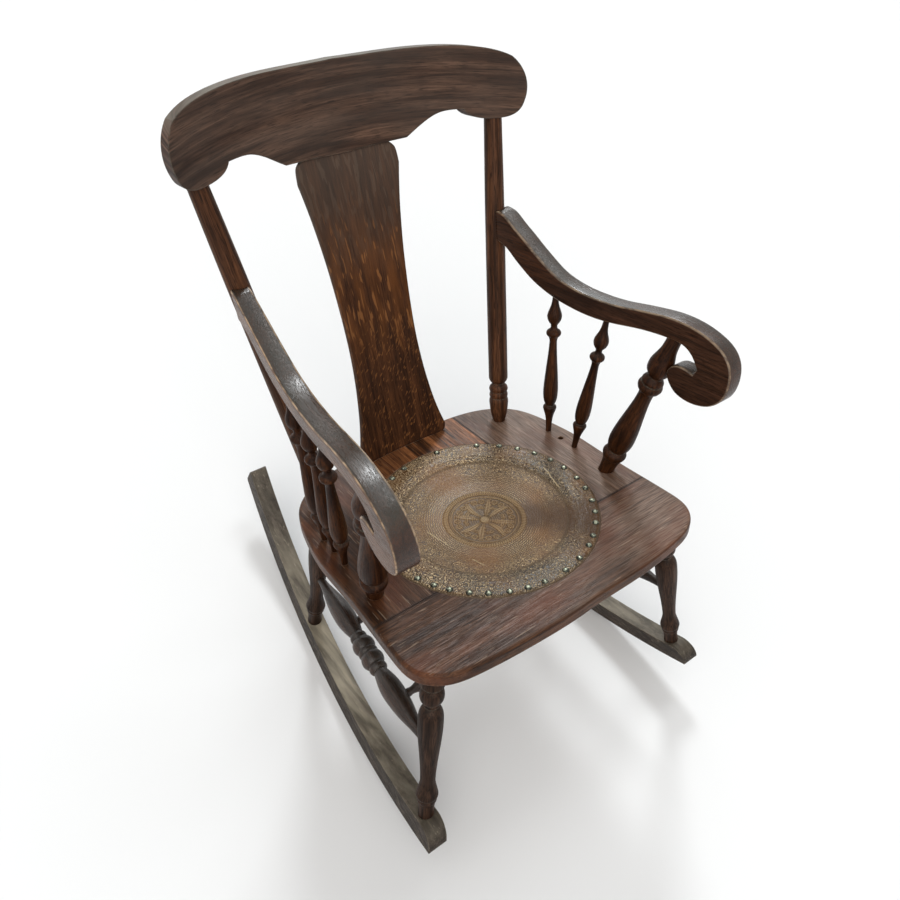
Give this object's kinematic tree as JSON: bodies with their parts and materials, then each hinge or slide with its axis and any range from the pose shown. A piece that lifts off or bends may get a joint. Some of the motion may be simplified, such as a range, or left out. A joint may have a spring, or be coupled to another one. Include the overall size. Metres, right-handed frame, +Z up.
{
  "type": "rocking chair",
  "caption": "Antique oak rocking chair with a shaped crest rail, vase splat, scrolled arms on turned spindles, nailed round leather seat, turned legs and curved rockers.",
  "frame": {"origin": "bottom of the bounding box, at its centre in X and Y, where the rockers touch the floor", "axes": "+Z up from the floor at rest; the chair faces -Y; -X is the side on the viewer's left"},
  "size_m": [0.596, 0.804, 0.9121],
  "materials": {
    "oak": "satin",
    "leather": "satin",
    "nail_brass": "satin",
    "screw_steel": "satin"
  },
  "bodies": {
    "root": {"crest_rail": "oak", "back_splat": "oak", "back_post_left": "oak", "back_post_right": "oak", "arm_left": "oak", "arm_right": "oak", "arm_spindle_left_rear": "oak", "arm_spindle_left_middle": "oak", "arm_spindle_left_front": "oak", "arm_spindle_right_rear": "oak", "arm_spindle_right_front": "oak", "arm_support_left": "oak", "arm_support_right": "oak", "arm_screws": "screw_steel", "seat_front_board": "oak", "seat_back_board": "oak", "seat_side_board_left": "oak", "seat_side_board_right": "oak", "seat_dowels": "oak", "seat_leather_disc": "leather", "seat_nails": "nail_brass", "leg_front_left": "oak", "leg_front_right": "oak", "leg_rear_left": "oak", "leg_rear_right": "oak", "side_stretcher_left": "oak", "side_stretcher_right": "oak", "cross_stretcher_front": "oak", "cross_stretcher_rear": "oak", "rocker_left": "oak", "rocker_right": "oak"}
  },
  "joints": []
}
